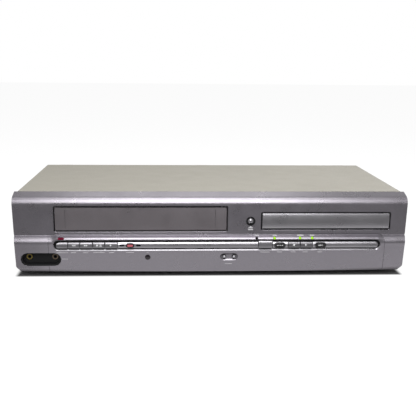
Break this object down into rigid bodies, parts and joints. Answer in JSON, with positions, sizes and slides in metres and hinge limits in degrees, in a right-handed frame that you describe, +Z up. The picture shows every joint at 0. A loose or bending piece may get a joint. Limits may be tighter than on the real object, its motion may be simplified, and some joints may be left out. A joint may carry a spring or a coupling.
{
  "type": "disc and tape player",
  "caption": "Flat full-width player with a hinged cassette flap and tape deck on the left, a motor-driven disc tray on the right and a row of press buttons below.",
  "frame": {"origin": "middle of the footprint, on the surface that the feet stand on", "axes": "+X to the viewer's right along the front, +Y to the back, +Z up; the front faces -Y"},
  "size_m": [0.4384, 0.234, 0.0945],
  "materials": {
    "front_grey": "satin metallic paint",
    "cover_grey": "satin paint",
    "flap_grey": "satin",
    "silver_plastic": "satin metallic",
    "black_plastic": "matt",
    "foot_rubber": "matt",
    "zinc_steel": "zinc plated",
    "drum_aluminium": "machined",
    "lamp_red": "clear tinted",
    "lamp_green": "clear tinted",
    "dark_lens": "polished",
    "board_green": "solder mask",
    "socket_gold": "plated",
    "white_plastic": "moulded",
    "tray_black": "moulded",
    "record_red": "satin"
  },
  "bodies": {
    "case": {"chassis_base": "zinc_steel", "top_cover": "cover_grey", "front_panel": "front_grey", "control_fascia": "front_grey", "button_bar": "silver_plastic", "rear_panel": "zinc_steel", "foot_front_left": "foot_rubber", "foot_front_right": "foot_rubber", "foot_rear_left": "foot_rubber", "foot_rear_right": "foot_rubber", "cord_grommet": "black_plastic", "ir_window": "dark_lens", "power_lens": "lamp_red", "indicator_light_guide": "lamp_green", "front_jack_cup": "black_plastic", "front_jack_sockets": "socket_gold", "switch_board": "board_green", "main_board": "board_green", "rear_jack_block": "black_plastic", "aerial_terminals": "zinc_steel", "deck_chassis": "zinc_steel", "loading_frame": "zinc_steel", "head_drum_lower": "drum_aluminium", "loader_frame": "black_plastic", "loader_motor": "zinc_steel", "loader_belt": "foot_rubber", "clamp_bridge": "zinc_steel", "traverse_frame": "zinc_steel"},
    "button_rewind": {"button_rewind": "silver_plastic"},
    "button_fast_forward": {"button_fast_forward": "silver_plastic"},
    "button_stop_eject": {"button_stop_eject": "silver_plastic"},
    "button_play": {"button_play": "silver_plastic"},
    "button_disc_stop": {"button_disc_stop": "silver_plastic"},
    "button_disc_play": {"button_disc_play": "silver_plastic"},
    "button_power": {"button_power": "silver_plastic"},
    "button_source": {"button_source": "silver_plastic"},
    "button_record": {"button_record": "record_red"},
    "button_disc_menu": {"button_disc_menu": "silver_plastic"},
    "button_disc_skip": {"button_disc_skip": "silver_plastic"},
    "button_tray_open": {"button_tray_open": "silver_plastic"},
    "button_channel_down": {"button_channel_down": "silver_plastic"},
    "button_channel_up": {"button_channel_up": "silver_plastic"},
    "cassette_door": {"cassette_door": "flap_grey"},
    "holder_slider": {"holder_slider": "zinc_steel"},
    "cassette_holder": {"cassette_holder": "zinc_steel"},
    "supply_reel_table": {"supply_reel_table": "white_plastic"},
    "takeup_reel_table": {"takeup_reel_table": "white_plastic"},
    "head_drum": {"head_drum_upper": "drum_aluminium"},
    "capstan": {"capstan_flywheel": "drum_aluminium"},
    "pinch_arm": {"pinch_arm": "zinc_steel"},
    "pinch_roller": {"pinch_roller": "foot_rubber"},
    "supply_tape_guide": {"supply_tape_guide": "drum_aluminium"},
    "takeup_tape_guide": {"takeup_tape_guide": "drum_aluminium"},
    "tray": {"disc_tray": "tray_black", "tray_front": "silver_plastic"},
    "drive_gear": {"drive_gear": "white_plastic"},
    "pulley_gear": {"pulley_gear": "white_plastic"},
    "turntable": {"turntable": "black_plastic"},
    "clamp_puck": {"clamp_puck": "black_plastic"},
    "pickup_sled": {"pickup_sled": "black_plastic"}
  },
  "joints": [
    {"name": "rewind_press", "type": "slide", "parent": "case", "child": "button_rewind", "axis": [0, 1, 0], "range_m": [0, 0.001], "stiffness_N_per_m": 600, "springref_m": -0.0005},
    {"name": "fast_forward_press", "type": "slide", "parent": "case", "child": "button_fast_forward", "axis": [0, 1, 0], "range_m": [0, 0.001], "stiffness_N_per_m": 600, "springref_m": -0.0005},
    {"name": "stop_eject_press", "type": "slide", "parent": "case", "child": "button_stop_eject", "axis": [0, 1, 0], "range_m": [0, 0.001], "stiffness_N_per_m": 600, "springref_m": -0.0005},
    {"name": "play_press", "type": "slide", "parent": "case", "child": "button_play", "axis": [0, 1, 0], "range_m": [0, 0.001], "stiffness_N_per_m": 600, "springref_m": -0.0005},
    {"name": "disc_stop_press", "type": "slide", "parent": "case", "child": "button_disc_stop", "axis": [0, 1, 0], "range_m": [0, 0.001], "stiffness_N_per_m": 600, "springref_m": -0.0005},
    {"name": "disc_play_press", "type": "slide", "parent": "case", "child": "button_disc_play", "axis": [0, 1, 0], "range_m": [0, 0.001], "stiffness_N_per_m": 600, "springref_m": -0.0005},
    {"name": "power_press", "type": "slide", "parent": "case", "child": "button_power", "axis": [0, 1, 0], "range_m": [0, 0.001], "stiffness_N_per_m": 600, "springref_m": -0.0005},
    {"name": "source_press", "type": "slide", "parent": "case", "child": "button_source", "axis": [0, 1, 0], "range_m": [0, 0.001], "stiffness_N_per_m": 600, "springref_m": -0.0005},
    {"name": "record_press", "type": "slide", "parent": "case", "child": "button_record", "axis": [0, 1, 0], "range_m": [0, 0.001], "stiffness_N_per_m": 600, "springref_m": -0.0005},
    {"name": "disc_menu_press", "type": "slide", "parent": "case", "child": "button_disc_menu", "axis": [0, 1, 0], "range_m": [0, 0.001], "stiffness_N_per_m": 600, "springref_m": -0.0005},
    {"name": "disc_skip_press", "type": "slide", "parent": "case", "child": "button_disc_skip", "axis": [0, 1, 0], "range_m": [0, 0.001], "stiffness_N_per_m": 600, "springref_m": -0.0005},
    {"name": "tray_open_press", "type": "slide", "parent": "case", "child": "button_tray_open", "axis": [0, 1, 0], "range_m": [0, 0.001], "stiffness_N_per_m": 600, "springref_m": -0.0005},
    {"name": "channel_down_press", "type": "slide", "parent": "case", "child": "button_channel_down", "axis": [0, 1, 0], "range_m": [0, 0.001], "stiffness_N_per_m": 600, "springref_m": -0.0005},
    {"name": "channel_up_press", "type": "slide", "parent": "case", "child": "button_channel_up", "axis": [0, 1, 0], "range_m": [0, 0.001], "stiffness_N_per_m": 600, "springref_m": -0.0005},
    {"name": "cassette_door_hinge", "type": "hinge", "parent": "case", "child": "cassette_door", "pos_m": [-0.0785, -0.1069, 0.0826], "axis": [1, 0, 0], "range_deg": [0, 90], "stiffness_Nm_per_rad": 0.0015, "springref_deg": -34.38},
    {"name": "holder_travel", "type": "slide", "parent": "case", "child": "holder_slider", "axis": [0, 1, 0], "range_m": [0, 0.048]},
    {"name": "holder_drop", "type": "slide", "parent": "holder_slider", "child": "cassette_holder", "axis": [0, 0, -1], "range_m": [0, 0.024]},
    {"name": "supply_reel_spin", "type": "hinge", "parent": "case", "child": "supply_reel_table", "pos_m": [-0.1245, -0.042, 0.0282], "axis": [0, 0, 1], "continuous": true},
    {"name": "takeup_reel_spin", "type": "hinge", "parent": "case", "child": "takeup_reel_table", "pos_m": [-0.0325, -0.042, 0.0282], "axis": [0, 0, 1], "continuous": true},
    {"name": "head_drum_spin", "type": "hinge", "parent": "case", "child": "head_drum", "pos_m": [-0.088, 0.052, 0.0282], "axis": [0.1028, 0, 0.9947], "continuous": true},
    {"name": "capstan_spin", "type": "hinge", "parent": "case", "child": "capstan", "pos_m": [-0.025, 0.028, 0.018], "axis": [0, 0, 1], "continuous": true},
    {"name": "pinch_arm_swing", "type": "hinge", "parent": "case", "child": "pinch_arm", "pos_m": [0.004, 0.05, 0.034], "axis": [0, 0, 1], "range_deg": [-25, 0]},
    {"name": "pinch_roller_spin", "type": "hinge", "parent": "pinch_arm", "child": "pinch_roller", "pos_m": [-0.00765, 0.02542, 0.0365], "axis": [0, 0, 1], "continuous": true},
    {"name": "supply_guide_travel", "type": "slide", "parent": "case", "child": "supply_tape_guide", "axis": [-0.2017, 0.9795, 0], "range_m": [0, 0.0346]},
    {"name": "takeup_guide_travel", "type": "slide", "parent": "case", "child": "takeup_tape_guide", "axis": [0.2017, 0.9795, 0], "range_m": [0, 0.0346]},
    {"name": "tray_travel", "type": "slide", "parent": "case", "child": "tray", "axis": [0, -1, 0], "range_m": [0, 0.135]},
    {"name": "drive_gear_spin", "type": "hinge", "parent": "case", "child": "drive_gear", "pos_m": [0.0808, -0.08, 0.0574], "axis": [0, 0, 1], "range_deg": [-10, 785]},
    {"name": "pulley_gear_spin", "type": "hinge", "parent": "case", "child": "pulley_gear", "pos_m": [0.0983, -0.08, 0.0574], "axis": [0, 0, 1], "range_deg": [-1045, 10]},
    {"name": "turntable_spin", "type": "hinge", "parent": "case", "child": "turntable", "pos_m": [0.1278, -0.04, 0.0583], "axis": [0, 0, 1], "continuous": true},
    {"name": "clamp_puck_spin", "type": "hinge", "parent": "case", "child": "clamp_puck", "pos_m": [0.1278, -0.04, 0.0683], "axis": [0, 0, 1], "continuous": true},
    {"name": "pickup_travel", "type": "slide", "parent": "case", "child": "pickup_sled", "axis": [0, 1, 0], "range_m": [0, 0.034]}
  ],
  "couplings": [
    {"joint": "takeup_guide_travel", "follows": "supply_guide_travel", "ratio": 1},
    {"joint": "drive_gear_spin", "follows": "tray_travel", "rad_per_m": 100},
    {"joint": "pulley_gear_spin", "follows": "tray_travel", "rad_per_m": -133.33}
  ]
}
